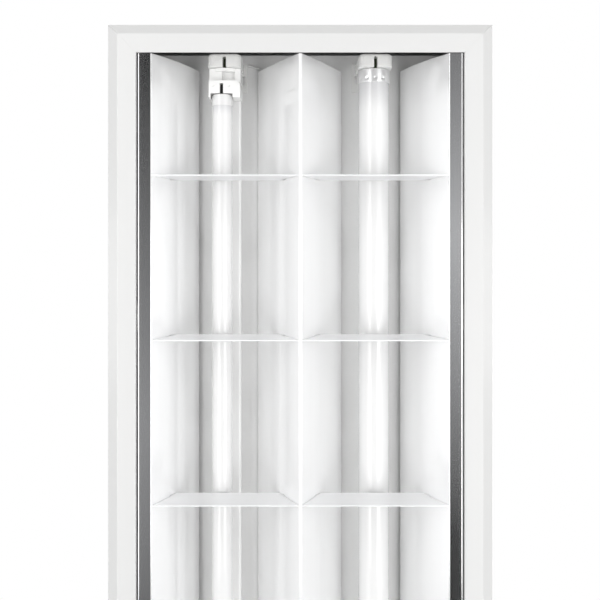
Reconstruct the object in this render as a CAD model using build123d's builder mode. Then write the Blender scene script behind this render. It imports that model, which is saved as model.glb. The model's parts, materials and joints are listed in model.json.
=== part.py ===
from build123d import *
import os
from math import hypot, radians, sqrt, tan

# Twin-lamp louvre luminaire for the ceiling. The origin is the centre of the mounting face on
# top, +Z points up into the ceiling, X runs across the luminaire and Y along its lamps.
# A depth is measured upwards from the light opening, a z value downwards from the ceiling.
# All lengths are in millimetres and all angles in degrees.

# Lamps
t8_length = 1199.4
t8_radius = 13.1
t8_cap_wall = 0.5
t8_cap_length = 10.7
t5_radius = 8.5
t5_cap_wall = 0.35
t5_cap_length = 9.0
glass_wall = 0.8
cap_base = 1.0
pin_radius = 1.175
pin_length = 7.1
t8_pin_spacing = 12.7
t5_pin_spacing = 4.75
pin_room = 0.5
lamp_offset = 61.0
adapters_length = 50.4
t5_shift = 3.9
t5_offset = 2.3
t5_clearance = 1.5
stem_length = 22.0
stem_radius = 2.5
electrode_margin = 3.5
electrode_thickness = 0.8

# Fits
play = 0.3
running_clearance = 0.08
slot_clearance = 0.15
bolt_clearance = 0.25
seam = 0.2

# Sheet-steel housing and gear tray
sheet = 0.8
bevel_in = 9.0
bevel_deep = 8.0
lip = 14.5
hem = 10.0
corner_radius = 3.0
end_room = 17.5
tray_half = 120.0
tray_foot = 10.0
tray_end_gap = 9.0
gear_air = 3.4
tab_width = 15.0
tab_height = 30.0
tab_depth = 50.0

# Louvre unit
reflector_sheet = 0.6
side_mouth = 54.0
side_bow = 2.77
slot_outer = 24.5
slot_inner = 25.3
centre_knee = 16.5
apex_half = 1.0
strip_width = 10.25
strip_upstand = 14.0
louvre_recess = 0.2
louvre_end_gap = 0.6
louvre_side_gap = 1.25
side_edge_gap = 3.5
centre_edge_gap = 2.0
blade_rows = 9
end_cell = 93.9
blade_height = 27.0
blade_sheet = 0.4
blade_nose = 1.0
blade_back = 3.8
blade_gap = 0.35
tab_start = 19.0
blade_tab = 5.0
tab_reach = 2.5
tab_slot_reach = 3.0
nose_inset = 0.1
lamp_clearance = 3.9

# Lampholders
holder_width = 27.0
holder_thickness = 10.5
holder_head = 17.0
holder_rise = 23.0
holder_corner = 5.0
holder_edge = 2.5
rotor_radius = 8.4
rotor_back = 1.0
foot_width = 33.0
foot_reach = 13.8
foot_thickness = 2.0
foot_slit = 1.6
contact_sheet = 0.4
contact_height = 5.0
contact_length = 5.0
contact_pocket = 2.4
contact_setback = 1.0
seat_relief = 0.5
peg_radius = 1.8
peg_inset = 4.5
wire_hole_spacing = 10.0

# Adapter of the thinner lamp
head_width = 25.2
head_wall = 2.1
head_rim = 3.4
head_front = 1.0
head_corner = 4.0
small_rotor_radius = 5.0
small_rotor_back = 0.6
shoulder_front = 10.0
groove_width = 10.5
groove_depth = 4.0
groove_offset = 2.8
dimple_spacing = 12.6
adapter_disc = 2.5
carrier_width = 24.0
carrier_top = 12.0
carrier_height = 10.0
carrier_wall = 1.0
carrier_radius = 1.5
small_seat_relief = 0.4
lamp_mouth_clearance = 0.45
dimple_radius = 0.7
dimple_depth = 1.4

# Control gear
ballast_length = 150.0
ballast_width = 41.0
ballast_height = 28.0
core_inset = 19.0
ballast_base = 1.2
ballast_place = 250.0
ballast_hole_inset = 4.5
gear_screw_radius = 2.0
gear_head_radius = 3.6
gear_head_height = 2.2
end_screw_length = 8.0
winding_inset = 2.4
winding_drop = 4.8
starter_place = 60.0
starter_radius = 10.75
starter_length = 35.5
starter_pin_radius = 1.6
starter_pin_spacing = 12.7
starter_pin_length = 4.0
starter_travel = 40.0
socket_size = 26.0
socket_height = 9.0
socket_recess = 4.0
socket_corner = 2.0
socket_wire_inset = 3.5
starter_nose = 2.0
terminal_length = 36.0
terminal_width = 18.0
terminal_height = 16.0
terminal_corner = 1.5
terminal_well = 2.4
capacitor_radius = 12.5
capacitor_length = 75.0
capacitor_margin = 5.5
capacitor_y = -190.0
capacitor_edge = 1.0
clip_sheet = 1.0
clip_width = 14.0
earth_x = 34.0
earth_y = 26.0
lug_radius = 5.0
wire_radius = 1.1
lane_margin = 4.5
wire_lift = 4.0
wire_turn = 16.0
bend_share = 0.45
inner_lane = 12.0

# Fixing to the ceiling, and the cable entry
fixing_x = 100.0
fixing_y = 420.0
fixing_radius = 3.25
entry_x = 0.0
entry_y = 110.0
entry_radius = 10.0
bush_bore = 5.0
bush_flange = 13.0
bush_length = 6.0
stud_radius = 2.0
stud_length = 9.0
nut_across = 7.0
nut_height = 3.2
stud_rows = (-450.0, 0.0, 450.0)
clip_rows = (-400.0, 0.0, 400.0)
spring_sheet = 0.4
spring_length = 20.0
spring_leg_in = 2.0
spring_leg_out = 3.2

# Depths above the light opening, which follow from the lamps and the louvre
lamp_depth = blade_height + lamp_clearance + t8_radius
tray_depth = lamp_depth + holder_rise
height = tray_depth + 2 * sheet + ballast_height + gear_air
face = -height
tray_z = face + tray_depth
tray_top = tray_z + sheet
lamp_z = face + lamp_depth
side_depth = tray_depth - side_edge_gap
centre_depth = tray_depth - centre_edge_gap

# Lamps, the slots for their pins, and the rotors
t8_glass_radius = t8_radius - t8_cap_wall
t5_glass_radius = t5_radius - t5_cap_wall
t5_length = t8_length - adapters_length
rotor_slot = 2 * (pin_radius + slot_clearance)
holder_slot = rotor_slot + slot_clearance
rotor_slot_depth = pin_length - 2 * play + pin_room
rotor_thickness = rotor_slot_depth + rotor_back
small_rotor_thickness = rotor_slot_depth + small_rotor_back

# Plan sizes, which follow from the lamps, the louvre and the frame round it
mouth_outer = lamp_offset + side_mouth
louvre_half = mouth_outer + strip_width
opening_half = louvre_half + louvre_side_gap
half_width = opening_half + lip + bevel_in
lamp_end = t8_length / 2
holder_face = lamp_end + play
half_length = holder_face + holder_thickness + end_room
opening_end = half_length - bevel_in - lip
louvre_end = opening_end - louvre_end_gap
tray_end = half_length - sheet - tray_end_gap
blade_pitch = 2 * (louvre_end - end_cell) / (blade_rows - 1)
capacitor_x = tray_half - capacitor_margin - capacitor_radius
ballast_core = ballast_length - 2 * core_inset
ballast_hole_spacing = ballast_length - 2 * ballast_hole_inset

# The thinner lamp is set towards one end, and its axis lies in front of the thick lamp's axis
t5_rise = t8_radius + lamp_clearance - t5_radius - t5_clearance
sides = {"left": -1, "right": 1}
ends = {"front": -1, "rear": 1}


def folded_sheet(path, thickness):
    """Closed outline of a sheet bent along path, with its thickness to the left of the path."""
    normals = []
    for (x0, y0), (x1, y1) in zip(path, path[1:]):
        run = hypot(x1 - x0, y1 - y0)
        normals.append(((y0 - y1) / run, (x1 - x0) / run))
    back = []
    for i, (x, y) in enumerate(path):
        ax, ay = normals[max(i - 1, 0)]
        bx, by = normals[min(i, len(normals) - 1)]
        mitre = thickness / (1 + ax * bx + ay * by)
        back.append((x + mitre * (ax + bx), y + mitre * (ay + by)))
    return list(path) + back[::-1]


def outline(points):
    """A face inside straight lines through the points, whichever way they go round."""
    turn = sum(a[0] * b[1] - b[0] * a[1] for a, b in zip(points, points[1:] + points[:1]))
    Polygon(*(points if turn > 0 else points[::-1]), align=None)


def across(side=1, y=0.0):
    """Upright plane across the luminaire: local x points outwards on that side, local y up."""
    return Plane(origin=(0, y, 0), x_dir=(side, 0, 0), z_dir=(0, -side, 0))


def along(end=1, x=0.0):
    """Upright plane along the luminaire: local x points to that end, local y up."""
    return Plane(origin=(x, 0, 0), x_dir=(0, end, 0), z_dir=(end, 0, 0))


def plan(end=1, z=0.0):
    """Level plane whose local y points to that end."""
    return Plane(origin=(0, 0, z), x_dir=(end, 0, 0), z_dir=(0, 0, 1))


def lamp_plane(x, y, z, end=1):
    """Plane square to a lamp at one of its ends: local z points out of that end, local y up."""
    return Plane(origin=(x, y, z), x_dir=(-end, 0, 0), z_dir=(0, end, 0))


def save(builder, name):
    """Label a finished piece and write it."""
    builder.part.label = name
    export_step(builder.part, "parts/" + name + ".step")


def circle_through(a, b, c):
    """Centre and radius of the circle through three points."""
    d = 2 * (a[0] * (b[1] - c[1]) + b[0] * (c[1] - a[1]) + c[0] * (a[1] - b[1]))
    sa = a[0] ** 2 + a[1] ** 2
    sb = b[0] ** 2 + b[1] ** 2
    sc = c[0] ** 2 + c[1] ** 2
    x = (sa * (b[1] - c[1]) + sb * (c[1] - a[1]) + sc * (a[1] - b[1])) / d
    y = (sa * (c[0] - b[0]) + sb * (a[0] - c[0]) + sc * (b[0] - a[0])) / d
    return x, y, hypot(a[0] - x, a[1] - y)


os.makedirs("parts", exist_ok=True)

# Housing channel: one folded sheet with the bevel and the lip of the light opening
lip_path = [
    (opening_half, face + hem),
    (opening_half, face),
    (half_width - bevel_in, face),
    (half_width, face + bevel_deep),
    (half_width, 0),
]
channel_path = lip_path + [(-x, z) for x, z in reversed(lip_path)]
mitre_apex = half_length - half_width
screw_x = half_width - sheet - tab_width / 2
stud_x = tray_half + tray_foot / 2

with BuildPart() as housing_body:
    with BuildSketch(Plane.XZ):
        outline(folded_sheet(channel_path, sheet))
        inner_corners = vertices().filter_by(lambda v: abs(v.Y + sheet) < sheet / 4)
        fillet(inner_corners, radius=corner_radius - sheet)
        outer_corners = vertices().filter_by(lambda v: abs(v.Y) < sheet / 4)
        fillet(outer_corners, radius=corner_radius)
    extrude(amount=half_length - sheet, both=True)
    for end in ends.values():
        # the mitre takes the lip and bevel away where the end plate's own lip lies
        with BuildSketch(plan(end, face)):
            apex = mitre_apex - seam
            over = half_width + hem
            outline([(0, apex), (over, apex + over), (-over, apex + over)])
        extrude(amount=bevel_deep + sheet, mode=Mode.SUBTRACT)
        with BuildSketch(plan(end, face)):
            inside = half_width - sheet
            outline([
                (0, apex),
                (inside, apex + inside),
                (inside, apex + over),
                (-inside, apex + over),
                (-inside, apex + inside),
            ])
        extrude(amount=hem + sheet, mode=Mode.SUBTRACT)
        # tabs folded in from the sides, which carry the end plate
        for side in sides.values():
            with BuildSketch(across(side, end * (half_length - sheet - sheet))):
                with Locations((screw_x, -tab_depth)):
                    Rectangle(tab_width, tab_height)
                    Circle(gear_screw_radius, mode=Mode.SUBTRACT)
            extrude(amount=side * end * -sheet)
    # studs welded under the top, for the gear tray
    with Locations(*[(s * stud_x, y, -sheet / 2) for s in sides.values() for y in stud_rows]):
        Cylinder(stud_radius, stud_length, align=(Align.CENTER, Align.CENTER, Align.MAX))
    with Locations(*[(s * fixing_x, e * fixing_y, 0) for s in sides.values() for e in ends.values()]):
        Hole(fixing_radius, depth=2 * sheet)
    with Locations((entry_x, entry_y, 0)):
        Hole(entry_radius, depth=2 * sheet)
save(housing_body, "housing_body")

# End plates: the same bevel and lip, mitred into the channel, with a plain edge at the opening
plate_path = [
    (opening_end, face),
    (half_length - bevel_in, face),
    (half_length, face + bevel_deep),
    (half_length, 0),
]
for name, end in ends.items():
    with BuildPart() as end_plate:
        with BuildSketch(along(end)):
            outline(folded_sheet(plate_path, sheet))
        extrude(amount=half_width, both=True)
        for side in sides.values():
            far = half_width + hem
            with BuildSketch(plan(end, face)):
                outline([
                    (0, mitre_apex),
                    (side * far, mitre_apex + far),
                    (side * far, mitre_apex),
                ])
            extrude(amount=bevel_deep + sheet, mode=Mode.SUBTRACT)
            inside = half_width - sheet
            with BuildSketch(plan(end, face)):
                outline([
                    (0, mitre_apex),
                    (side * inside, mitre_apex + inside),
                    (side * far, mitre_apex + inside),
                    (side * far, mitre_apex),
                ])
            extrude(amount=hem + sheet, mode=Mode.SUBTRACT)
        top_corners = edges().filter_by(Axis.Y).group_by(Axis.Z)[-1]
        fillet(top_corners, radius=corner_radius)
        with BuildSketch(across(1, end * half_length)):
            with Locations(*[(side * screw_x, -tab_depth) for side in sides.values()]):
                Circle(gear_screw_radius + bolt_clearance)
        extrude(amount=2 * sheet, both=True, mode=Mode.SUBTRACT)
    save(end_plate, "end_plate_" + name)

# Pan-head screws that hold the end plates on the channel's tabs
with BuildPart() as end_plate_screws:
    for end in ends.values():
        for side in sides.values():
            with BuildSketch(lamp_plane(side * screw_x, end * half_length, -tab_depth, end)):
                Circle(gear_head_radius)
            extrude(amount=gear_head_height)
            with BuildSketch(lamp_plane(side * screw_x, end * half_length, -tab_depth, end)):
                Circle(gear_screw_radius - running_clearance)
            extrude(amount=-end_screw_length)
save(end_plate_screws, "end_plate_screws")

# Gear tray: a folded hat section, with feet that hang from the studs under the housing's top
foot_z = -2 * sheet
tray_path = [
    (-tray_half - tray_foot, foot_z),
    (-tray_half, foot_z),
    (-tray_half, tray_z),
    (tray_half, tray_z),
    (tray_half, foot_z),
    (tray_half + tray_foot, foot_z),
]
peg_x = foot_width / 2 - peg_inset
peg_y = holder_face + holder_thickness / 2
wire_hole_y = holder_face - foot_reach / 2
wire_hole_x = wire_hole_spacing / 2
wire_hole_radius = wire_radius + play
starter_wire_x = socket_size / 2 - socket_wire_inset
with BuildPart() as gear_tray:
    with BuildSketch(Plane.XZ):
        outline(folded_sheet(tray_path, sheet))
    extrude(amount=tray_end, both=True)
    with BuildSketch(Plane.XY.offset(foot_z)):
        with Locations(*[(s * stud_x, y) for s in sides.values() for y in stud_rows]):
            Circle(stud_radius + bolt_clearance)
    extrude(amount=sheet, mode=Mode.SUBTRACT)
    with BuildSketch(Plane.XY.offset(tray_z)):
        for s in sides.values():
            for e in ends.values():
                with Locations(*[(s * lamp_offset + p * peg_x, e * peg_y) for p in (-1, 1)]):
                    Circle(peg_radius + slot_clearance)
                with Locations(*[(s * (lamp_offset + p * wire_hole_x), e * wire_hole_y) for p in (-1, 1)]):
                    Circle(wire_hole_radius)
        for e in ends.values():
            for p in (-1, 1):
                with Locations((0, e * ballast_place + p * ballast_hole_spacing / 2)):
                    Circle(gear_screw_radius + bolt_clearance)
                with Locations((e * starter_wire_x, e * starter_place + p * wire_hole_x)):
                    Circle(wire_hole_radius)
    extrude(amount=sheet, mode=Mode.SUBTRACT)
save(gear_tray, "gear_tray")

# Nuts that hold the tray's feet on the studs
with BuildPart() as tray_nuts:
    with BuildSketch(Plane.XY.offset(foot_z)):
        with Locations(*[(s * stud_x, y) for s in sides.values() for y in stud_rows]):
            RegularPolygon(nut_across / 2, 6, major_radius=False)
            Circle(stud_radius + running_clearance, mode=Mode.SUBTRACT)
    extrude(amount=-nut_height)
save(tray_nuts, "tray_nuts")

# Spring clips: bent strips over the lip's turned-up edge, which grip the louvre unit
clip_inner = louvre_half + play
clip_outer = opening_half + sheet + play
clip_top = face + hem + spring_sheet / 4
with BuildPart() as louvre_clips:
    for side in sides.values():
        for y in clip_rows:
            with BuildSketch(across(side, y)):
                outline([
                    (clip_inner, face + spring_leg_in),
                    (clip_inner, clip_top + spring_sheet),
                    (clip_outer + spring_sheet, clip_top + spring_sheet),
                    (clip_outer + spring_sheet, face + spring_leg_out),
                    (clip_outer, face + spring_leg_out),
                    (clip_outer, clip_top),
                    (clip_inner + spring_sheet, clip_top),
                    (clip_inner + spring_sheet, face + spring_leg_in),
                ])
            extrude(amount=spring_length / 2, both=True)
save(louvre_clips, "louvre_clips")

# Side reflectors: a curved mirror wall, the flat strip beside it and an upstand at the frame
louvre_z = face + louvre_recess
side_top = (mouth_outer, louvre_z)
side_low = (lamp_offset + slot_outer, face + side_depth)
wall_x = side_top[0] - side_low[0]
wall_z = side_low[1] - side_top[1]
bow_share = side_bow / hypot(wall_x, wall_z)
side_mid = (
    (side_top[0] + side_low[0]) / 2 - wall_z * bow_share,
    (side_top[1] + side_low[1]) / 2 - wall_x * bow_share,
)
side_cx, side_cz, side_r = circle_through(side_top, side_mid, side_low)
centre_top = (apex_half, louvre_z)
centre_mid = (centre_knee, face + blade_height)
centre_low = (lamp_offset - slot_inner, face + centre_depth)


def side_wall_x(depth):
    """Where the visible face of a side reflector stands at a depth."""
    return side_cx - sqrt(side_r ** 2 - (face + depth - side_cz) ** 2)


def centre_wall_x(depth):
    """Where the visible face of the centre reflector stands at a depth of the blades."""
    share = (face + depth - louvre_z) / (centre_mid[1] - louvre_z)
    return apex_half + share * (centre_knee - apex_half)


def towards_centre(point, distance):
    """A point moved from the side wall's face into the sheet."""
    dx = side_cx - point[0]
    dz = side_cz - point[1]
    return point[0] + dx / side_r * distance, point[1] + dz / side_r * distance


rows = [(i - (blade_rows - 1) / 2) * blade_pitch for i in range(blade_rows)]
tab_middle = tab_start + blade_tab / 2
tab_slot_y = blade_back + 2 * slot_clearance
tab_slot_z = blade_tab + 2 * slot_clearance

for name, side in sides.items():
    with BuildPart() as side_reflector:
        with BuildSketch(across(side)):
            with BuildLine():
                ThreePointArc(side_top, side_mid, side_low)
                Line(side_low, towards_centre(side_low, reflector_sheet))
                ThreePointArc(*[towards_centre(p, reflector_sheet) for p in (side_low, side_mid, side_top)])
                Line(towards_centre(side_top, reflector_sheet), side_top)
            make_face()
            outline([
                side_top,
                (louvre_half, louvre_z),
                (louvre_half, face + strip_upstand),
                (louvre_half - reflector_sheet, face + strip_upstand),
                (louvre_half - reflector_sheet, louvre_z + reflector_sheet),
                (mouth_outer + reflector_sheet / 4, louvre_z + reflector_sheet),
            ])
        extrude(amount=louvre_end, both=True)
        for y in rows:
            with BuildSketch(across(side, y)):
                with Locations((side_wall_x(tab_middle), face + tab_middle)):
                    Rectangle(2 * tab_slot_reach, tab_slot_z)
            extrude(amount=tab_slot_y / 2, both=True, mode=Mode.SUBTRACT)
    save(side_reflector, "side_reflector_" + name)

# Centre reflector: one sheet folded to a V, its fold between the two chambers
centre_path = [
    (-centre_low[0], centre_low[1]),
    (-centre_mid[0], centre_mid[1]),
    (-centre_top[0], centre_top[1]),
    centre_top,
    centre_mid,
    centre_low,
]
with BuildPart() as centre_reflector:
    with BuildSketch(Plane.XZ):
        outline(folded_sheet(centre_path, reflector_sheet))
    extrude(amount=louvre_end, both=True)
    for y in rows:
        for side in sides.values():
            with BuildSketch(across(side, y)):
                with Locations((centre_wall_x(tab_middle), face + tab_middle)):
                    Rectangle(2 * tab_slot_reach, tab_slot_z)
            extrude(amount=tab_slot_y / 2, both=True, mode=Mode.SUBTRACT)
save(centre_reflector, "centre_reflector")

# Cross blades: a V of thin sheet in each chamber, with a tab at each end
blade_nose_depth = louvre_recess + nose_inset
blade_path = [
    (-blade_back / 2, face + blade_height),
    (-blade_nose / 2, face + blade_nose_depth),
    (blade_nose / 2, face + blade_nose_depth),
    (blade_back / 2, face + blade_height),
]
tab_stop = tab_start + blade_tab
blade_outline = [
    (centre_wall_x(blade_nose_depth) + blade_gap, face + blade_nose_depth),
    (side_wall_x(blade_nose_depth) - blade_gap, face + blade_nose_depth),
    (side_wall_x(tab_start) - blade_gap, face + tab_start),
    (side_wall_x(tab_middle) + tab_reach, face + tab_start),
    (side_wall_x(tab_middle) + tab_reach, face + tab_stop),
    (side_wall_x(tab_stop) - blade_gap, face + tab_stop),
    (side_wall_x(blade_height) - blade_gap, face + blade_height),
    (centre_wall_x(blade_height) + blade_gap, face + blade_height),
    (centre_wall_x(tab_stop) + blade_gap, face + tab_stop),
    (centre_wall_x(tab_middle) - tab_reach, face + tab_stop),
    (centre_wall_x(tab_middle) - tab_reach, face + tab_start),
    (centre_wall_x(tab_start) + blade_gap, face + tab_start),
]
for i, y in enumerate(rows):
    with BuildPart() as cross_blade:
        with BuildSketch(Plane(origin=(0, y, 0), x_dir=(0, 1, 0), z_dir=(1, 0, 0))):
            outline(folded_sheet(blade_path, blade_sheet))
        extrude(amount=mouth_outer + strip_width, both=True)
        with BuildSketch(across(1, y)):
            outline(blade_outline)
            outline([(-x, z) for x, z in blade_outline])
        extrude(amount=blade_back, both=True, mode=Mode.INTERSECT)
    save(cross_blade, "cross_blade_" + str(i + 1))

# Lampholders: a moulded head with a pin slot and a round seat for the rotor, on a foot
seat_depth = rotor_thickness + seat_relief
pocket_reach = rotor_radius + contact_pocket
holder_names = {}
for end_name, end in ends.items():
    for side_name, side in sides.items():
        name = side_name + "_" + end_name
        holder_names[name] = (side, end)
        at_face = lamp_plane(side * lamp_offset, end * holder_face, lamp_z, end)
        with BuildPart() as lampholder:
            with BuildSketch(at_face):
                with Locations((0, (holder_rise - holder_head) / 2)):
                    Rectangle(holder_width, holder_rise + holder_head)
                head_corners = vertices().group_by(Axis.Y)[0]
                fillet(head_corners, radius=holder_corner)
            extrude(amount=holder_thickness)
            back_edges = edges().filter_by(Axis.Z).group_by(Axis.Y)[-1 if end > 0 else 0]
            fillet(back_edges, radius=holder_edge)
            with BuildSketch(at_face):
                Circle(rotor_radius + running_clearance)
            extrude(amount=seat_depth, mode=Mode.SUBTRACT)
            with BuildSketch(at_face):
                with Locations((0, -holder_head)):
                    Rectangle(holder_slot, 2 * holder_head, align=(Align.CENTER, Align.CENTER))
            extrude(amount=rotor_thickness, mode=Mode.SUBTRACT)
            with BuildSketch(at_face.offset(contact_setback)):
                Rectangle(2 * pocket_reach, contact_height + 2 * slot_clearance)
            extrude(amount=contact_length + 2 * slot_clearance, mode=Mode.SUBTRACT)
            # foot on the tray, with two snap pegs through it and slits beside the head
            foot_top = Plane(
                origin=(side * lamp_offset, end * holder_face, tray_z),
                x_dir=(end, 0, 0),
                z_dir=(0, 0, 1),
            )
            with BuildSketch(foot_top):
                with Locations((0, -foot_reach)):
                    Rectangle(foot_width, foot_reach + holder_thickness, align=(Align.CENTER, Align.MIN))
                with Locations(*[(p * (foot_width / 2 - 2 * foot_slit), -foot_reach / 4) for p in (-1, 1)]):
                    Rectangle(foot_slit, foot_reach / 2, mode=Mode.SUBTRACT)
            extrude(amount=-foot_thickness)
            with BuildSketch(foot_top):
                with Locations(*[(p * peg_x, holder_thickness / 2) for p in (-1, 1)]):
                    Circle(peg_radius)
            extrude(amount=2 * sheet)
        save(lampholder, "lampholder_" + name)

        # the rotor's slot lies level, along the pins of what it holds
        at_rotor = at_face.offset(play)
        with BuildPart() as rotor:
            with BuildSketch(at_rotor):
                Circle(rotor_radius)
            extrude(amount=rotor_thickness)
            with BuildSketch(at_rotor):
                Rectangle(3 * rotor_radius, rotor_slot)
            extrude(amount=rotor_slot_depth, mode=Mode.SUBTRACT)
        save(rotor, "lampholder_rotor_" + name)

# Contact springs: bowed strips in the pockets beside each rotor
with BuildPart() as contacts:
    bow = contact_height / 2
    tip = pocket_reach - contact_sheet / 2
    root = tip - contact_sheet
    belly = rotor_radius + 3 * running_clearance
    for side, end in holder_names.values():
        at_face = lamp_plane(side * lamp_offset, end * holder_face, lamp_z, end)
        for hand in (-1, 1):
            with BuildSketch(at_face.offset(contact_setback + slot_clearance)):
                with BuildLine():
                    ThreePointArc((hand * root, -bow), (hand * belly, 0), (hand * root, bow))
                    Line((hand * root, bow), (hand * tip, bow))
                    bulge = hand * (belly + contact_sheet)
                    ThreePointArc((hand * tip, bow), (bulge, 0), (hand * tip, -bow))
                    Line((hand * tip, -bow), (hand * root, -bow))
                make_face()
            extrude(amount=contact_length)
save(contacts, "lampholder_contacts")


def make_lamp(prefix, x, y, z, length, radius, glass_radius, cap_length, spacing):
    """Write the glass tube, caps, pins and cathodes of one lamp whose middle is at x, y, z."""
    middle = lamp_plane(x, y, z)
    with BuildPart() as tube:
        with BuildSketch(middle):
            Circle(glass_radius)
            Circle(glass_radius - glass_wall, mode=Mode.SUBTRACT)
        extrude(amount=length / 2 - cap_base, both=True)
    save(tube, prefix + "_tube")

    with BuildPart() as pins:
        for end in ends.values():
            with BuildSketch(lamp_plane(x, y + end * length / 2, z, end)):
                with Locations((-spacing / 2, 0), (spacing / 2, 0)):
                    Circle(pin_radius)
            extrude(amount=pin_length)
    save(pins, prefix + "_pins")

    with BuildPart() as cathodes:
        for end in ends.values():
            at_base = lamp_plane(x, y + end * (length / 2 - cap_base), z, end)
            inner = glass_radius - glass_wall - running_clearance
            with BuildSketch(at_base):
                Circle(inner)
            extrude(amount=-cap_base)
            with BuildSketch(at_base):
                Circle(stem_radius)
            extrude(amount=-stem_length)
            with BuildSketch(at_base.offset(-stem_length)):
                Rectangle(2 * (inner - electrode_margin), electrode_thickness)
            extrude(amount=-electrode_thickness)
    save(cathodes, prefix + "_cathodes")

    for end_name, end in ends.items():
        with BuildPart() as cap:
            with BuildSketch(lamp_plane(x, y + end * length / 2, z, end)):
                Circle(radius)
            extrude(amount=-cap_length)
            base = faces().sort_by(Axis.Y)[-1 if end > 0 else 0]
            fillet(base.edges(), radius=cap_base)
            with BuildSketch(lamp_plane(x, y + end * (length / 2 - cap_base), z, end)):
                Circle(glass_radius + running_clearance)
            extrude(amount=-cap_length, mode=Mode.SUBTRACT)
        save(cap, prefix + "_cap_" + end_name)


make_lamp(
    "t8",
    lamp_offset,
    0,
    lamp_z,
    t8_length,
    t8_radius,
    t8_glass_radius,
    t8_cap_length,
    t8_pin_spacing,
)
t5_x = -lamp_offset - t5_offset
t5_y = -t5_shift
t5_z = lamp_z - t5_rise
make_lamp(
    "t5",
    t5_x,
    t5_y,
    t5_z,
    t5_length,
    t5_radius,
    t5_glass_radius,
    t5_cap_length,
    t5_pin_spacing,
)

# Adapter heads: they plug into the thick lamp's holders and hold the thin lamp and its carrier.
# The thin lamp lies in front of the holder's axis and to its outer side.
head_front_y = -t5_rise - t5_radius - head_front
head_back_y = carrier_top + play
small_seat = small_rotor_thickness + small_seat_relief
mouth_radius = t5_radius + lamp_mouth_clearance
for end_name, end in ends.items():
    lamp_face = abs(t5_y + end * t5_length / 2)
    floor_at = lamp_face + play
    back_at = floor_at + small_seat + head_wall
    rim_at = floor_at - head_rim
    out = lamp_plane(-lamp_offset, 0, lamp_z, end)
    axis_x = end * t5_offset
    with BuildPart() as adapter:
        with BuildSketch(out.offset(rim_at)):
            with Locations((0, (head_front_y + head_back_y) / 2)):
                Rectangle(head_width, head_back_y - head_front_y)
        extrude(amount=back_at - rim_at)
        upright_edges = edges().filter_by(Axis.Z).group_by(Axis.Y)[-1 if end > 0 else 0]
        fillet(upright_edges.sort_by(Axis.X)[-1], radius=head_corner)
        with BuildSketch(out.offset(rim_at)):
            with Locations((axis_x, -t5_rise)):
                Circle(mouth_radius)
            with Locations((axis_x, -t5_rise - t5_radius)):
                Rectangle(2 * mouth_radius, 2 * t5_radius)
        extrude(amount=head_rim, mode=Mode.SUBTRACT)
        with BuildSketch(out.offset(floor_at)):
            with Locations((axis_x, -t5_rise)):
                Circle(small_rotor_radius + running_clearance)
            with Locations((axis_x, -t5_rise - t5_radius)):
                Rectangle(rotor_slot, 2 * t5_radius)
        extrude(amount=small_seat, mode=Mode.SUBTRACT)
        # two moulding dimples beside the pin slot
        with BuildSketch(out.offset(back_at - head_corner)):
            with Locations(*[(axis_x + p * dimple_spacing / 2, head_front_y) for p in (-1, 1)]):
                Circle(dimple_radius)
        extrude(amount=-dimple_depth, mode=Mode.SUBTRACT)
        # shoulder with a groove along its front, and the plug disc
        with BuildSketch(out.offset(back_at)):
            with Locations((0, (head_back_y - shoulder_front) / 2)):
                Rectangle(head_width, head_back_y + shoulder_front)
            with Locations((-end * groove_offset, -shoulder_front)):
                Rectangle(groove_width, 2 * groove_depth, mode=Mode.SUBTRACT)
        extrude(amount=lamp_end - back_at)
        with BuildSketch(out.offset(lamp_end - adapter_disc)):
            Circle(t8_radius)
        extrude(amount=adapter_disc)
    save(adapter, "t5_adapter_" + end_name)

    at_floor = lamp_plane(t5_x, end * floor_at, t5_z, end)
    with BuildPart() as small_rotor:
        with BuildSketch(at_floor):
            Circle(small_rotor_radius)
        extrude(amount=small_rotor_thickness)
        with BuildSketch(at_floor):
            Rectangle(3 * small_rotor_radius, rotor_slot)
        extrude(amount=rotor_slot_depth, mode=Mode.SUBTRACT)
    save(small_rotor, "t5_rotor_" + end_name)

with BuildPart() as adapter_pins:
    for end in ends.values():
        with BuildSketch(lamp_plane(-lamp_offset, end * lamp_end, lamp_z, end)):
            with Locations((-t8_pin_spacing / 2, 0), (t8_pin_spacing / 2, 0)):
                Circle(pin_radius)
        extrude(amount=pin_length)
save(adapter_pins, "t5_adapter_pins")

# Carrier: a hollow profile behind the thin lamp, which joins the two adapter heads
carrier_front_end = -(t5_length / 2 + t5_shift + play - head_rim)
carrier_rear_end = t5_length / 2 - t5_shift + play - head_rim
carrier_plane = lamp_plane(-lamp_offset, carrier_front_end, lamp_z)
with BuildPart() as t5_carrier:
    with BuildSketch(carrier_plane):
        with Locations((0, carrier_top - carrier_height / 2)):
            RectangleRounded(carrier_width, carrier_height, carrier_radius)
            hollow_width = carrier_width - 2 * carrier_wall
            Rectangle(hollow_width, carrier_height - 2 * carrier_wall, mode=Mode.SUBTRACT)
    extrude(amount=carrier_rear_end - carrier_front_end)
save(t5_carrier, "t5_carrier")

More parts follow.
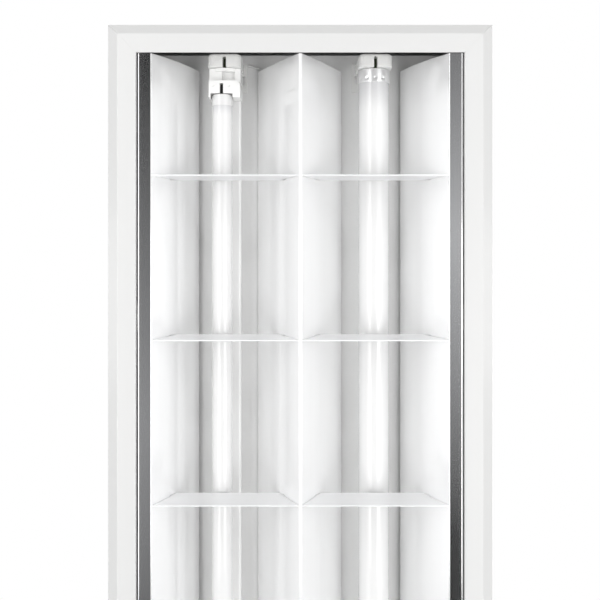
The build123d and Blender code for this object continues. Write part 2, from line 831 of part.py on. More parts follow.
# Ballasts: laminated cores between winding ends, on a base plate with a screw at each end
winding_length = ballast_hole_spacing - ballast_core - 4 * gear_head_radius
for end_name, end in ends.items():
    base_plane = Plane(origin=(0, end * ballast_place, tray_top), x_dir=(end, 0, 0), z_dir=(0, 0, 1))
    with BuildPart() as ballast:
        with BuildSketch(base_plane):
            Rectangle(ballast_width, ballast_length)
            with Locations(*[(0, p * ballast_hole_spacing / 2) for p in (-1, 1)]):
                Circle(gear_screw_radius - running_clearance / 2, mode=Mode.SUBTRACT)
        extrude(amount=ballast_base)
        with BuildSketch(base_plane.offset(ballast_base)):
            Rectangle(ballast_width, ballast_core)
        extrude(amount=ballast_height - ballast_base)
        core_edges = edges().filter_by(Axis.Y).group_by(Axis.Z)[-1]
        chamfer(core_edges, length=ballast_base)
        with BuildSketch(base_plane.offset(ballast_base)):
            Rectangle(ballast_width - 2 * winding_inset, ballast_core + winding_length)
        extrude(amount=ballast_height - winding_drop)
    save(ballast, "ballast_" + end_name)

with BuildPart() as ballast_screws:
    spots = [(0, e * ballast_place + p * ballast_hole_spacing / 2) for e in ends.values() for p in (-1, 1)]
    with BuildSketch(Plane.XY.offset(tray_z)):
        with Locations(*spots):
            Circle(gear_head_radius)
    extrude(amount=-gear_head_height)
    with BuildSketch(Plane.XY.offset(tray_z)):
        with Locations(*spots):
            Circle(gear_screw_radius - running_clearance)
    extrude(amount=sheet + 3 * ballast_base)
save(ballast_screws, "ballast_screws")

# Starters and their sockets, under the tray and inside the centre reflector
pin_track = starter_pin_spacing / 2
for end_name, end in ends.items():
    at_socket = Plane(origin=(0, end * starter_place, tray_z), x_dir=(end, 0, 0), z_dir=(0, 0, 1))
    with BuildPart() as starter_socket:
        with BuildSketch(at_socket):
            RectangleRounded(socket_size, socket_size, socket_corner)
            with Locations(*[(starter_wire_x, p * wire_hole_x) for p in (-1, 1)]):
                Circle(wire_hole_radius, mode=Mode.SUBTRACT)
        extrude(amount=-socket_height)
        with BuildSketch(at_socket.offset(-socket_height)):
            Circle(starter_radius + play)
        extrude(amount=socket_recess, mode=Mode.SUBTRACT)
        # curved tracks in which the starter's pins turn
        with BuildSketch(at_socket.offset(socket_recess - socket_height)):
            for p in (0, 180):
                with BuildLine(mode=Mode.PRIVATE):
                    track = CenterArc((0, 0), pin_track, p, starter_travel)
                SlotArc(track, 2 * (starter_pin_radius + slot_clearance))
        extrude(amount=starter_pin_length + slot_clearance, mode=Mode.SUBTRACT)
    save(starter_socket, "starter_socket_" + end_name)

    with BuildPart() as starter:
        with BuildSketch(at_socket.offset(socket_recess - socket_height)):
            Circle(starter_radius)
        extrude(amount=-starter_length)
        nose = faces().sort_by(Axis.Z)[0]
        fillet(nose.edges(), radius=starter_nose)
        with BuildSketch(at_socket.offset(socket_recess - socket_height)):
            with PolarLocations(pin_track, 2):
                Circle(starter_pin_radius)
        extrude(amount=starter_pin_length)
    save(starter, "starter_" + end_name)

# Mains terminal block, with its clamping-screw wells and wire mouths
with BuildPart() as terminal_block:
    with BuildSketch(Plane.XY.offset(tray_top)):
        RectangleRounded(terminal_length, terminal_width, terminal_corner)
    extrude(amount=terminal_height)
    with BuildSketch(Plane.XY.offset(tray_top + terminal_height)):
        with GridLocations(terminal_length / 3, terminal_width / 2, 3, 2):
            Circle(terminal_well)
    extrude(amount=-terminal_height / 2, mode=Mode.SUBTRACT)
save(terminal_block, "terminal_block")

# Capacitor for the power factor, in a sprung clip
capacitor_z = tray_top + clip_sheet + running_clearance + capacitor_radius
with BuildPart() as capacitor:
    with BuildSketch(lamp_plane(capacitor_x, capacitor_y, capacitor_z)):
        Circle(capacitor_radius)
    extrude(amount=capacitor_length / 2, both=True)
    fillet(edges().filter_by(GeomType.CIRCLE), radius=capacitor_edge)
save(capacitor, "capacitor")

with BuildPart() as capacitor_clip:
    clip_in = capacitor_radius + running_clearance
    with BuildSketch(lamp_plane(capacitor_x, capacitor_y, capacitor_z)):
        Circle(clip_in + clip_sheet)
        Circle(clip_in, mode=Mode.SUBTRACT)
        with Locations((0, clip_in)):
            Rectangle(capacitor_radius, capacitor_radius, mode=Mode.SUBTRACT)
    extrude(amount=clip_width / 2, both=True)
save(capacitor_clip, "capacitor_clip")

# Earth terminal: stud, nut and cable lug on the tray
with BuildPart() as earth_terminal:
    with BuildSketch(Plane.XY.offset(tray_top)):
        with Locations((earth_x, earth_y)):
            Circle(lug_radius)
    extrude(amount=sheet)
    with BuildSketch(Plane.XY.offset(tray_top + sheet)):
        with Locations((earth_x, earth_y)):
            RegularPolygon(nut_across / 2, 6, major_radius=False)
    extrude(amount=nut_height)
    with BuildSketch(Plane.XY.offset(tray_top)):
        with Locations((earth_x, earth_y)):
            Circle(stud_radius)
    extrude(amount=stud_length)
save(earth_terminal, "earth_terminal")

# Cable bush: a rubber bush in the housing's cable entry, flush with the top
with BuildPart() as cable_bush:
    with BuildSketch(Plane.XY):
        with Locations((entry_x, entry_y)):
            Circle(entry_radius - running_clearance)
    extrude(amount=-bush_length)
    with BuildSketch(Plane.XY.offset(-sheet)):
        with Locations((entry_x, entry_y)):
            Circle(bush_flange)
    extrude(amount=-sheet)
    with Locations((entry_x, entry_y, 0)):
        Hole(bush_bore, depth=2 * bush_length)
save(cable_bush, "cable_bush")

# Internal wiring: single insulated wires, laid on the tray and bent in wide curves
wire_z = tray_top + wire_radius + play / 2
over_z = wire_z + wire_lift
high_z = wire_z + 2 * wire_lift
lane_step = 3 * wire_radius
lanes = capacitor_x - capacitor_radius - lane_margin - 2 * lane_step
terminal_side = terminal_length / 2 + play / 2
terminal_front = terminal_width / 2 + play / 2
winding_end = ballast_place - (ballast_core + winding_length) / 2 - play / 2


def from_holder(side, end, hand, lane):
    """First part of a route: up from a lampholder's foot through the tray and into a lane."""
    x = side * (lamp_offset + hand * wire_hole_x)
    y = end * wire_hole_y
    return [
        (x, y, tray_z + play / 2),
        (x, y, high_z),
        (x, y - end * 2 * wire_turn, high_z),
        (side * lane, y - end * 5 * wire_turn, wire_z),
    ]


def to_socket(side, end, lane):
    """Last part of a route: from a lane to the starter socket of that side's lamp."""
    x = side * starter_wire_x
    y = side * starter_place + end * wire_hole_x
    return [
        (side * lane, y + end * 2 * wire_turn, wire_z),
        (side * (lane - wire_turn), y, high_z),
        (x, y, high_z),
        (x, y, tray_z - socket_height / 3),
    ]


def to_ballast(side, lane):
    """Last part of a route: from a lane back into the inner end of that side's ballast."""
    x = side * inner_lane
    y = side * (winding_end - 2 * wire_turn)
    return [
        (side * lane, y + side * wire_turn, wire_z),
        (side * lane, y, high_z),
        (x, y, high_z),
        (x, side * winding_end, high_z),
    ]


def to_terminal(side, lane):
    """Last part of a route: from a lane sideways into the terminal block."""
    y = -side * terminal_width / 4
    return [
        (side * lane, y - side * 2 * wire_turn, wire_z),
        (side * lane, y, high_z),
        (side * terminal_side, y, over_z),
    ]


def bend_radii(points):
    """A radius for each corner, as wide as the runs beside it allow."""
    radii = []
    for before, corner, after in zip(points, points[1:], points[2:]):
        run_in = Vector(*corner) - Vector(*before)
        run_out = Vector(*after) - Vector(*corner)
        turn = radians(run_in.get_angle(run_out))
        room = bend_share * min(run_in.length, run_out.length) / tan(turn / 2)
        radii.append(min(room, wire_turn))
    return radii


routes = []
for side in sides.values():
    for end in ends.values():
        near = end == side
        lane = lanes - (lane_step if near else 0)
        routes.append(from_holder(side, end, -1, lane) + to_socket(side, end, lane))
        lane = lanes + (lane_step if near else 2 * lane_step)
        finish = to_ballast(side, lane) if near else to_terminal(side, lane)
        routes.append(from_holder(side, end, 1, lane) + finish)
    # mains feed from the terminal block to that side's ballast
    feed_x = -side * terminal_length / 6
    routes.append([
        (feed_x, side * terminal_front, over_z),
        (feed_x, side * (terminal_front + 2 * wire_turn), over_z),
        (feed_x, side * (winding_end - 2 * wire_turn), high_z),
        (feed_x, side * winding_end, high_z),
    ])
for p in (-1, 1):
    # leads of the capacitor
    x = capacitor_x + p * 2 * lane_step / 3
    lead_x = terminal_length / 3 + p * lane_step * 3 / 4
    start_y = capacitor_y + capacitor_length / 2 + play / 2
    turn_y = -terminal_front - 3 * wire_turn + p * lane_step
    routes.append([
        (x, start_y, capacitor_z),
        (x, turn_y, capacitor_z),
        (lead_x, turn_y, capacitor_z),
        (lead_x, -terminal_front - wire_turn, over_z),
        (lead_x, -terminal_front, over_z),
    ])
# earth wire from the terminal block to the earth terminal
routes.append([
    (terminal_side, terminal_width / 4, over_z),
    (earth_x, terminal_width / 4, wire_z + wire_lift / 2),
    (earth_x, earth_y - lug_radius - play / 2, wire_z),
])
# lead under the tray, from the foot of the left front lampholder to the front starter's socket
under_z = tray_z - wire_radius - play / 2
routes.append([
    (-(lamp_offset - foot_width / 2 - 2 * play), -(holder_face + holder_thickness - wire_radius), under_z),
    (-inner_lane, -holder_face, under_z),
    (-inner_lane, -(starter_place + socket_size / 2 + play / 2), under_z),
])
with BuildPart() as wiring:
    for route in routes:
        with BuildLine():
            run = FilletPolyline(*route, radius=bend_radii(route))
        with BuildSketch(Plane(origin=run @ 0, z_dir=run % 0)):
            Circle(wire_radius)
        sweep(path=run)
save(wiring, "wiring")
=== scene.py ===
import json
from math import pi, radians, tan

import bmesh
import bpy
import numpy as np
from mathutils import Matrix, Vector


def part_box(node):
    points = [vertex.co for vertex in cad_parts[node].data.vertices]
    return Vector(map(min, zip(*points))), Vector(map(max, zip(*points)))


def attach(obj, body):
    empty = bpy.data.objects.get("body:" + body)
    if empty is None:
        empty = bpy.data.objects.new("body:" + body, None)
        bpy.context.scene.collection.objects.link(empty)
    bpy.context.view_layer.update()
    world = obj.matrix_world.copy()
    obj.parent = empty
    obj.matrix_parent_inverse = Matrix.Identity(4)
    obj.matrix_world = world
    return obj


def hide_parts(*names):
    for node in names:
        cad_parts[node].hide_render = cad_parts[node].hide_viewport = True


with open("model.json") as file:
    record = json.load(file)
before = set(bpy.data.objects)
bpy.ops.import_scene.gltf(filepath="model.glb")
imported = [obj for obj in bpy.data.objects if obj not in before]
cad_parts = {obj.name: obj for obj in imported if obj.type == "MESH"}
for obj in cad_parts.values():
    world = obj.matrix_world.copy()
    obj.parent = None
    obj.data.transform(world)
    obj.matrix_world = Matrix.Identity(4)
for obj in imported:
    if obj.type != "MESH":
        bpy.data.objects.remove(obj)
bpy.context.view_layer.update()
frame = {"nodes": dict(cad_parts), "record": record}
mm = 0.001

# Camera: it hangs below the luminaire and looks straight up at the front part of its light opening.
# The lens is shifted a little, so that its axis meets the picture at the given pixel.
camera_place = (-5 * mm, -455 * mm, -700 * mm)
lens = 46.76
axis_pixel = (293.8, 246.5)
image_size = 600
camera_data = bpy.data.cameras.new("camera")
camera_data.lens = lens
camera_data.shift_x = 0.5 - axis_pixel[0] / image_size
camera_data.shift_y = axis_pixel[1] / image_size - 0.5
camera = bpy.data.objects.new("camera", camera_data)
camera.location = camera_place
camera.rotation_euler = (pi, 0, 0)
bpy.context.scene.collection.objects.link(camera)
bpy.context.scene.camera = camera
bpy.context.scene.view_settings.view_transform = "Standard"


# Studio: a white surround, a pale floor under the camera, and soft lamps below, beside and above the
# luminaire. The low lamps face straight up, so they leave the floor alone.
def new_material(name):
    """Empty node material, with its node tree and its output."""
    material = bpy.data.materials.new(name)
    material.use_nodes = True
    tree = material.node_tree
    tree.nodes.clear()
    return material, tree, tree.nodes.new("ShaderNodeOutputMaterial")


def node_of(tree, kind, sources=(), **settings):
    """New node of a kind with its settings, and with sources linked to its inputs in turn."""
    node = tree.nodes.new("ShaderNode" + kind)
    for setting, value in settings.items():
        setattr(node, setting, value)
    for i, source in enumerate(sources):
        if isinstance(source, bpy.types.NodeSocket):
            tree.links.new(source, node.inputs[i])
        elif source is not None:
            node.inputs[i].default_value = source
    return node


def sum_of(tree, *sockets):
    """Adds up values that each lie between 0 and 1, and keeps the sum there too."""
    total = sockets[0]
    for socket in sockets[1:]:
        total = node_of(tree, "Math", (total, socket), operation="ADD", use_clamp=True).outputs[0]
    return total


white = (1, 1, 1, 1)
surround = bpy.data.worlds.new("white_surround")
surround.use_nodes = True
bpy.context.scene.world = surround
sky = surround.node_tree
sky.nodes.clear()
rays = node_of(sky, "LightPath")
seen = node_of(sky, "Background", (white, 1.0))
lit = node_of(sky, "Background", (white, 0.32))
kinds = ("Camera", "Glossy", "Transmission")
shown = sum_of(sky, *(rays.outputs["Is " + kind + " Ray"] for kind in kinds))
choose = node_of(sky, "MixShader", (shown, lit.outputs[0], seen.outputs[0]))
sky.links.new(choose.outputs[0], sky.nodes.new("ShaderNodeOutputWorld").inputs[0])


def level_plane(name, centre, size_x, size_y, material):
    """Stage plane that faces up."""
    x, y, z = centre
    ways = ((-1, -1), (1, -1), (1, 1), (-1, 1))
    corners = [(x + i * size_x / 2, y + j * size_y / 2, z) for i, j in ways]
    mesh = bpy.data.meshes.new(name)
    mesh.from_pydata(corners, [], [(0, 1, 2, 3)])
    mesh.materials.append(material)
    plane = bpy.data.objects.new(name, mesh)
    bpy.context.scene.collection.objects.link(plane)
    return plane


floor_z = -1.25
floor_size = 9
pale, tree, output = new_material("pale_floor")
paint = node_of(tree, "BsdfPrincipled")
paint.inputs["Base Color"].default_value = (0.86, 0.86, 0.86, 1)
paint.inputs["Roughness"].default_value = 0.8
clear = node_of(tree, "BsdfTransparent")
below = node_of(tree, "NewGeometry").outputs["Backfacing"]
one_sided = node_of(tree, "MixShader", (below, paint.outputs[0], clear.outputs[0]))
tree.links.new(one_sided.outputs[0], output.inputs[0])
level_plane("floor", (0, 0, floor_z), floor_size, floor_size, pale)


def soft_lamp(name, place, size, power, aim=None):
    """Rectangular lamp at place, which shines at aim, or else straight up. It is not seen itself."""
    data = bpy.data.lights.new(name, "AREA")
    data.shape = "RECTANGLE"
    data.size, data.size_y = size
    data.energy = power
    lamp = bpy.data.objects.new(name, data)
    lamp.location = place
    behind = Vector(place) - Vector(aim or (place[0], place[1], 0))
    lamp.rotation_euler = behind.to_track_quat("Z", "Y").to_euler()
    lamp.visible_camera = False
    bpy.context.scene.collection.objects.link(lamp)


soft_lamp("top_lamp", (0.3, 0.2, 1.5), (2.0, 2.0), 22, aim=(0, 0, 0))
soft_lamp("front_lamp", (0, -1.53, -0.96), (1.6, 0.55), 5.6)
for side, near_power, far_power, wide_power in ((-1, 3.0, 4.0, 4.6), (1, 1.4, 5.0, 5.9)):
    soft_lamp("near_side_lamp", (side * 0.66, -0.9, -1.12), (0.42, 0.8), near_power)
    soft_lamp("far_side_lamp", (side * 0.66, -0.1, -1.12), (0.42, 0.8), far_power)
    soft_lamp("wide_side_lamp", (side * 1.05, -0.4, -0.95), (0.7, 2.0), wide_power)
    soft_lamp("edge_lamp", (side * 1.9, -0.3, -0.45), (0.5, 2.4), 5.5, aim=(0, -0.3, -0.05))


# Painted reflections: faint emitting planes below the luminaire, where the flat strips look, each
# brightest at one place along its length. Only mirror sheets show them, so they paint the strips'
# shading.
reflection_plane_y = -0.3
reflection_plane_z = floor_z + 0.15
reflection_plane_size = (0.17, 1.5)
reflection_tint = (0.975, 0.98, 1, 1)
for name, reflection_plane_x, reflection_peak_y, reach, high, low in (
    ("left_flag", -0.312, -0.09, 0.75, 0.26, 0.03),
    ("right_flag", 0.328, -0.48, 0.62, 0.43, 0.02),
):
    reflection_paint, tree, output = new_material(name)
    place = node_of(tree, "TexCoord").outputs["Object"]
    spot = (reflection_plane_x, reflection_peak_y, reflection_plane_z)
    shift = node_of(tree, "Mapping", (place, spot, None, (reach, reach, 1)), vector_type="TEXTURE")
    ball = node_of(tree, "TexGradient", (shift.outputs[0],), gradient_type="SPHERICAL")
    level = node_of(tree, "MapRange", (ball.outputs["Fac"], 0.0, 1.0, low, high)).outputs[0]
    # Painted reflection: the plane emits most at its bright spot and less towards its edge, and only
    # glossy rays see it.
    reflection_glow = node_of(tree, "Emission", (reflection_tint, level))
    tree.links.new(reflection_glow.outputs[0], output.inputs[0])
    reflection_card = level_plane(name, (reflection_plane_x, reflection_plane_y, reflection_plane_z), *reflection_plane_size, reflection_paint)
    reflection_card.visible_camera = False
    reflection_card.visible_diffuse = False
    reflection_card.visible_shadow = False


# Housing channel: one long sheet of steel, folded to a top, two sides, the bevels and the lip of
# the opening, with weld studs, folded end tabs and punched holes, and white baked enamel all over,
# its colour darkened as painted shade.
record = frame["record"]
body_of = {name: body for body, members in record["behaviour"]["bodies"].items() for name in members}
across_y = np.array(((1, 0, 0), (0, 0, 1), (0, 1, 0)), float)
across_z = np.array(((1, 0, 0), (0, 1, 0), (0, 0, 1)), float)


def bent_line(corners, radii, steps=6):
    """Points and left-hand normals of straight runs joined by arcs. An arc of radius r at a turn t
    starts r tan(t/2) before its corner, and its centre is r to the side the line turns to."""
    corners = np.asarray(corners, float)
    way = np.diff(corners, axis=0)
    way /= np.linalg.norm(way, axis=1)[:, None]
    left = way[:, ::-1] * (-1, 1)
    points = [corners[:1]]
    normals = [left[:1]]
    for i, radius in enumerate(radii):
        turn = np.arctan2(np.cross(way[i], way[i + 1]), way[i] @ way[i + 1])
        centre = corners[i + 1] - way[i] * radius * tan(abs(turn) / 2) + left[i] * radius * np.sign(turn)
        angle = np.linspace(0, turn, steps + 1)[:, None]
        normal = np.cos(angle) * left[i] - np.sin(angle) * way[i]
        points.append(centre - normal * radius * np.sign(turn))
        normals.append(normal)
    points.append(corners[-1:])
    normals.append(left[-1:])
    return np.concatenate(points), np.concatenate(normals)


def surface(x, y, z):
    """Grid of points from three arrays that spread over one grid."""
    return np.stack(np.broadcast_arrays(x, y, z), axis=-1)


def grid_cells(rows, columns):
    """Numbers of a grid's points, row by row, and the four corners of each of its cells."""
    number = np.arange(rows * columns).reshape(rows, columns)
    return number, np.stack([number[:-1, :-1], number[1:, :-1], number[1:, 1:], number[:-1, 1:]], -1)


def shell(front, back, kept=None):
    """Closed skin of a sheet: front and back are grids of points, and a wall joins them along every
    border between a kept cell of the grid and a cell that is cut out or outside."""
    number, cells = grid_cells(*front.shape[:2])
    count = number.size
    if kept is None:
        kept = np.ones(cells.shape[:2], bool)
    faces = [cells[kept], cells[kept][:, ::-1] + count]
    around = np.pad(kept, 1)
    edges = (
        (number[:, :-1], number[:, 1:], around[:-1, 1:-1], around[1:, 1:-1]),
        (number[1:], number[:-1], around[1:-1, :-1], around[1:-1, 1:]),
    )
    for first, second, before, after in edges:
        along = np.stack([first, second], -1)
        for border, reverse in ((after & ~before, False), (before & ~after, True)):
            a, b = along[border].T
            wall = np.stack([a, b, b + count, a + count], -1)
            faces.append(wall[:, ::-1] if reverse else wall)
    return np.concatenate([front.reshape(-1, 3), back.reshape(-1, 3)]), np.concatenate(faces)


def turned(profile, place, axes=across_z, around=48, dent=None):
    """Surface of revolution: a point at radius r and height h of the profile goes round as
    place + r cos(a) u + r sin(a) v + h w, with r less the dent that is given for h and a."""
    profile = np.asarray(profile, float)
    angle = np.linspace(0, 2 * pi, around + 1)
    height = profile[:, 1, None] + 0 * angle
    radius = profile[:, 0, None] + 0 * angle
    if dent is not None:
        radius = radius - np.where(radius > 0, dent(height, angle), 0)
    u, v, w = axes
    parts = ((radius * np.cos(angle), u), (radius * np.sin(angle), v), (height, w))
    points = sum(part[..., None] * axis for part, axis in parts) + np.asarray(place, float)
    _, cells = grid_cells(*height.shape)
    return points.reshape(-1, 3), cells.reshape(-1, 4)


def slab(low, high):
    """Closed box between two corners."""
    x, y, z = (np.array(pair) for pair in zip(low, high))
    return shell(surface(x[:, None], y, z[0]), surface(x[:, None], y, z[1]))


def new_object(name, shells):
    """One object from closed skins: doubled seams and poles are merged, and faces point outwards."""
    starts = np.cumsum([0] + [len(points) for points, _ in shells])
    points = np.concatenate([points for points, _ in shells])
    faces = np.concatenate([quads + start for (_, quads), start in zip(shells, starts)])
    mesh = bpy.data.meshes.new(name)
    mesh.from_pydata(points.tolist(), [], faces.tolist())
    shape = bmesh.new()
    shape.from_mesh(mesh)
    bmesh.ops.remove_doubles(shape, verts=shape.verts, dist=0.002 * mm)
    bmesh.ops.recalc_face_normals(shape, faces=shape.faces)
    shape.to_mesh(mesh)
    shape.free()
    piece = bpy.data.objects.new(name, mesh)
    bpy.context.scene.collection.objects.link(piece)
    return piece


def punch(piece, holes):
    """Cuts round upright holes, each given as x, y, z and radius, through a piece."""
    depth = 3 * mm
    rings = [((0, -depth), (radius, -depth), (radius, depth), (0, depth)) for *_, radius in holes]
    plugs = [turned(ring, hole[:3], around=32) for ring, hole in zip(rings, holes)]
    cutter = new_object("cutter", plugs)
    cut = piece.modifiers.new("holes", "BOOLEAN")
    cut.operation = "DIFFERENCE"
    cut.object = cutter
    cut.solver = "EXACT"
    bpy.context.view_layer.update()
    whole = piece.evaluated_get(bpy.context.evaluated_depsgraph_get())
    mesh = bpy.data.meshes.new_from_object(whole)
    piece.modifiers.clear()
    piece.data = mesh
    bpy.data.objects.remove(cutter)


def smooth(piece, crisp=32):
    """Rounds shade smoothly, folds over the crisp angle stay sharp, and large flats keep their shade."""
    mesh = piece.data
    mesh.polygons.foreach_set("use_smooth", np.ones(len(mesh.polygons), bool))
    mesh.set_sharp_from_angle(angle=radians(crisp))
    even = piece.modifiers.new("even_shade", "WEIGHTED_NORMAL")
    even.keep_sharp = True


def dress(piece, name, *materials):
    """The piece stands for the CAD node called name: it takes the given materials and the node's body,
    and the node is hidden.
    """
    piece.data.materials.clear()
    for material in materials:
        piece.data.materials.append(material)
    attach(piece, body_of[name])
    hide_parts(name)


def grain_group():
    """Node group for a surface's grain. Object coordinates times Stretch drive a coarse and a fine
    noise. The colour darkens by Mottle, the roughness spreads by Scuff, and the height is the fine
    noise itself."""
    group = bpy.data.node_groups.new("grain", "ShaderNodeTree")
    wanted = (
        ("Colour", "Color", (0.8, 0.8, 0.8, 1)),
        ("Roughness", "Float", 0.4),
        ("Stretch", "Vector", (1, 1, 1)),
        ("Coarse", "Float", 20.0),
        ("Fine", "Float", 800.0),
        ("Mottle", "Float", 0.05),
        ("Scuff", "Float", 0.1),
    )
    for label, kind, default in wanted:
        socket = group.interface.new_socket(label, in_out="INPUT", socket_type="NodeSocket" + kind)
        socket.default_value = default
    for label, kind in (("Colour", "Color"), ("Roughness", "Float"), ("Height", "Float")):
        group.interface.new_socket(label, in_out="OUTPUT", socket_type="NodeSocket" + kind)
    given = group.nodes.new("NodeGroupInput").outputs
    place = node_of(group, "TexCoord").outputs["Object"]
    spread = node_of(group, "VectorMath", (place, given["Stretch"]), operation="MULTIPLY").outputs[0]
    coarse = node_of(group, "TexNoise", (spread, None, given["Coarse"], 3.0)).outputs["Fac"]
    fine = node_of(group, "TexNoise", (spread, None, given["Fine"], 2.0)).outputs["Fac"]
    both = node_of(group, "Math", (coarse, fine), operation="ADD").outputs[0]
    loss = node_of(group, "Math", (both, given["Mottle"]), operation="MULTIPLY").outputs[0]
    share = node_of(group, "Math", (1.0, loss), operation="SUBTRACT", use_clamp=True).outputs[0]
    colour = node_of(group, "VectorMath", (given["Colour"],), operation="SCALE")
    group.links.new(share, colour.inputs["Scale"])
    offset = node_of(group, "Math", (coarse, 0.5), operation="SUBTRACT").outputs[0]
    change = node_of(group, "Math", (offset, given["Scuff"]), operation="MULTIPLY").outputs[0]
    roughness = node_of(
        group, "Math", (given["Roughness"], change), operation="ADD", use_clamp=True
    ).outputs[0]
    result = group.nodes.new("NodeGroupOutput")
    for source, label in ((colour.outputs[0], "Colour"), (roughness, "Roughness"), (fine, "Height")):
        group.links.new(source, result.inputs[label])
    return group


grain = grain_group()


def finish(name, colour, roughness, relief, metallic=0.0, **grains):
    """Material with a grain, and its shader. Relief is how deep the fine grain is, in metres."""
    material, tree, output = new_material(name)
    texture = node_of(tree, "Group", node_tree=grain)
    texture.inputs["Colour"].default_value = (*colour, 1)
    texture.inputs["Roughness"].default_value = roughness
    for label, value in grains.items():
        texture.inputs[label.capitalize()].default_value = value
    shader = node_of(tree, "BsdfPrincipled")
    shader.inputs["Metallic"].default_value = metallic
    tree.links.new(texture.outputs["Colour"], shader.inputs["Base Color"])
    tree.links.new(texture.outputs["Roughness"], shader.inputs["Roughness"])
    bump = node_of(tree, "Bump")
    bump.inputs["Strength"].default_value = 1.0
    bump.inputs["Distance"].default_value = relief
    tree.links.new(texture.outputs["Height"], bump.inputs["Height"])
    tree.links.new(bump.outputs[0], shader.inputs["Normal"])
    tree.links.new(shader.outputs[0], output.inputs[0])
    return material, shader


def coat(shader, weight, roughness):
    """Clear coat over a shader, the same all over."""
    shader.inputs["Coat Weight"].default_value = weight
    shader.inputs["Coat Roughness"].default_value = roughness


# Painted shade: the housing's white enamel is made darker than the same enamel on the tray, to stand for
# the strong light on the frame.
frame_enamel_painted_shade, frame_enamel_painted_shade_shader = finish(
    "white_enamel", (0.675, 0.675, 0.67), 0.34, 0.004 * mm,
    coarse=9.0, fine=520.0, mottle=0.012, scuff=0.08,
)
coat(frame_enamel_painted_shade_shader, 0.25, 0.12)
sheet = 0.8 * mm
louvre_gap_side = 1.25 * mm
louvre_gap_end = 0.6 * mm
bevel_in = 9 * mm
bevel_deep = 8 * mm
hem = 10 * mm
weld_seam = 0.03 * mm
frame_low, frame_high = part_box("housing_body")
plate_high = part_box("end_plate_rear")[1]
louvre_low, louvre_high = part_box("side_reflector_right")
face = frame_low.z
half_width = frame_high.x
channel_end = frame_high.y
half_length = plate_high.y
opening_half = louvre_high.x + louvre_gap_side
opening_end = louvre_high.y + louvre_gap_end
mitre_apex = half_length - half_width

lip = [
    (opening_half, face + hem),
    (opening_half, face),
    (half_width - bevel_in, face),
    (half_width, face + bevel_deep),
    (half_width, 0),
]
bend = (1.2 * mm, 1.6 * mm, 1.6 * mm, 3 * mm)
line, normals = bent_line(lip + [(-x, z) for x, z in lip[::-1]], bend + bend[::-1])
inner = line + sheet * normals


def channel_grid(path):
    """The folded path carried along Y: to the mitre on lip and bevel, and to the end elsewhere."""
    mitre = mitre_apex - weld_seam + np.abs(path[:, 0])
    reach = np.where(path[:, 1] < face + hem + sheet, np.minimum(mitre, channel_end), channel_end)
    return surface(path[:, 0, None], reach[:, None] * np.linspace(-1, 1, 9), path[:, 1, None])


signs = (-1, 1)
tab_x = 141.7 * mm
tab_z = -50 * mm
tab_half = (7.5 * mm, 15 * mm)
stud_x = 125 * mm
stud_rows = (-450 * mm, 0, 450 * mm)
stud_radius = 2 * mm
stud_end = -9.4 * mm
thread_pitch = 0.7 * mm
thread_depth = 0.25 * mm
thread_step = thread_pitch / 6
parts = [shell(channel_grid(line), channel_grid(inner))]
for side in signs:
    for end in signs:
        near = (side * tab_x - tab_half[0], end * channel_end, tab_z - tab_half[1])
        far = (side * tab_x + tab_half[0], end * (channel_end - sheet), tab_z + tab_half[1])
        parts.append(slab(near, far))


def thread(height, angle):
    """Depth of a screw thread: a triangle wave that climbs one pitch per turn."""
    phase = (height / thread_pitch + angle / (2 * pi)) % 1
    return thread_depth * np.abs(2 * phase - 1)


heights = np.arange(-sheet / 2, stud_end, -thread_step)
rod = [(0, -sheet / 2)] + [(stud_radius, z) for z in heights] + [(0, stud_end)]
for side in signs:
    for y in stud_rows:
        parts.append(turned(rod, (side * stud_x, y, 0), around=24, dent=thread))
housing = new_object("housing_channel", parts[:1])
fixing_x = 100 * mm
fixing_y = 420 * mm
fixing_radius = 3.25 * mm
entry_y = 110 * mm
entry_radius = 10 * mm
holes = [(x * fixing_x, y * fixing_y, 0, fixing_radius) for x in signs for y in signs]
punch(housing, holes + [(0, entry_y, 0, entry_radius)])
smooth(housing)
dress(housing, "housing_body", frame_enamel_painted_shade)
fixings = new_object("housing_tabs_and_studs", parts[1:])
smooth(fixings)
dress(fixings, "housing_body", frame_enamel_painted_shade)


# End plates: the same folded profile across each end, but with a plain edge at the opening. They are
# mitred and welded to the channel, rounded at the two upper corners, and enamelled with it.
corner_radius = 3 * mm
plate_lip = [
    (opening_end, face),
    (half_length - bevel_in, face),
    (half_length, face + bevel_deep),
    (half_length, -corner_radius),
]
line, normals = bent_line(plate_lip, bend[1:3])
corner = corner_radius * (np.sin(np.linspace(0, pi / 2, 7)[1:]) - 1)
line = np.concatenate([line, np.stack([half_length + 0 * corner, corner], -1)])
normals = np.concatenate([normals, np.repeat(normals[-1:], len(corner), axis=0)])
inner = line + sheet * normals


def plate_grid(path, end):
    """The folded path carried along X, out to the mitre below and to the rounded corners above."""
    cut = np.sqrt(corner_radius ** 2 - np.clip(corner_radius + path[:, 1], 0, corner_radius) ** 2)
    mitre = path[:, 0] - mitre_apex - weld_seam
    rounded = half_width - corner_radius + cut
    reach = np.where(path[:, 1] < face + bevel_deep, np.minimum(mitre, half_width), rounded)
    return surface(reach[:, None] * np.linspace(-1, 1, 5), end * path[:, 0, None], path[:, 1, None])


for name, end in (("end_plate_front", -1), ("end_plate_rear", 1)):
    plate = new_object(name + "_sheet", [shell(plate_grid(line, end), plate_grid(inner, end))])
    smooth(plate)
    dress(plate, name, frame_enamel_painted_shade)


